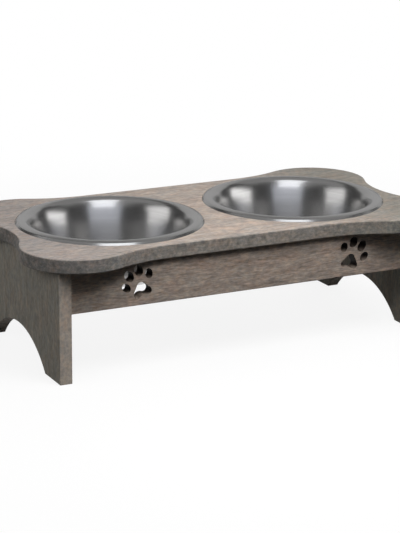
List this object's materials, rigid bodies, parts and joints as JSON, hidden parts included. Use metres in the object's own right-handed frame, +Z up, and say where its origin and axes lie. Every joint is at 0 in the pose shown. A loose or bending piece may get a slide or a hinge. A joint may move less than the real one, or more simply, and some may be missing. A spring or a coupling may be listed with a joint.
{
  "type": "elevated pet feeder",
  "caption": "Low bone-shaped wooden stand with arched end panels and a paw-print apron; it holds stainless steel food and water bowls that lift straight out of its top.",
  "frame": {"origin": "on the floor, under the middle of the top board", "axes": "+Z up, +X along the pair of bowls towards the right end, -Y towards the front with the paw prints"},
  "size_m": [0.4132, 0.2264, 0.1182],
  "materials": {
    "stained_wood": "weathered grey stain, matt",
    "block_wood": "sawn, grey stain",
    "dowel_wood": "plain beech",
    "screw_steel": "zinc plated",
    "bowl_steel": "satin stainless"
  },
  "bodies": {
    "stand": {"top_board": "stained_wood", "left_end_panel": "stained_wood", "right_end_panel": "stained_wood", "front_apron": "stained_wood", "back_apron": "stained_wood", "front_left_corner_block": "block_wood", "front_right_corner_block": "block_wood", "back_left_corner_block": "block_wood", "back_right_corner_block": "block_wood", "front_apron_dowels": "dowel_wood", "back_apron_dowels": "dowel_wood", "left_panel_dowels": "dowel_wood", "right_panel_dowels": "dowel_wood", "panel_screws": "screw_steel", "apron_screws": "screw_steel", "top_screws": "screw_steel"},
    "left_bowl": {"left_bowl": "bowl_steel"},
    "right_bowl": {"right_bowl": "bowl_steel"}
  },
  "joints": [
    {"name": "left_bowl_lift", "type": "slide", "parent": "stand", "child": "left_bowl", "axis": [0, 0, 1], "range_m": [0, 0.06]},
    {"name": "right_bowl_lift", "type": "slide", "parent": "stand", "child": "right_bowl", "axis": [0, 0, 1], "range_m": [0, 0.06]}
  ]
}
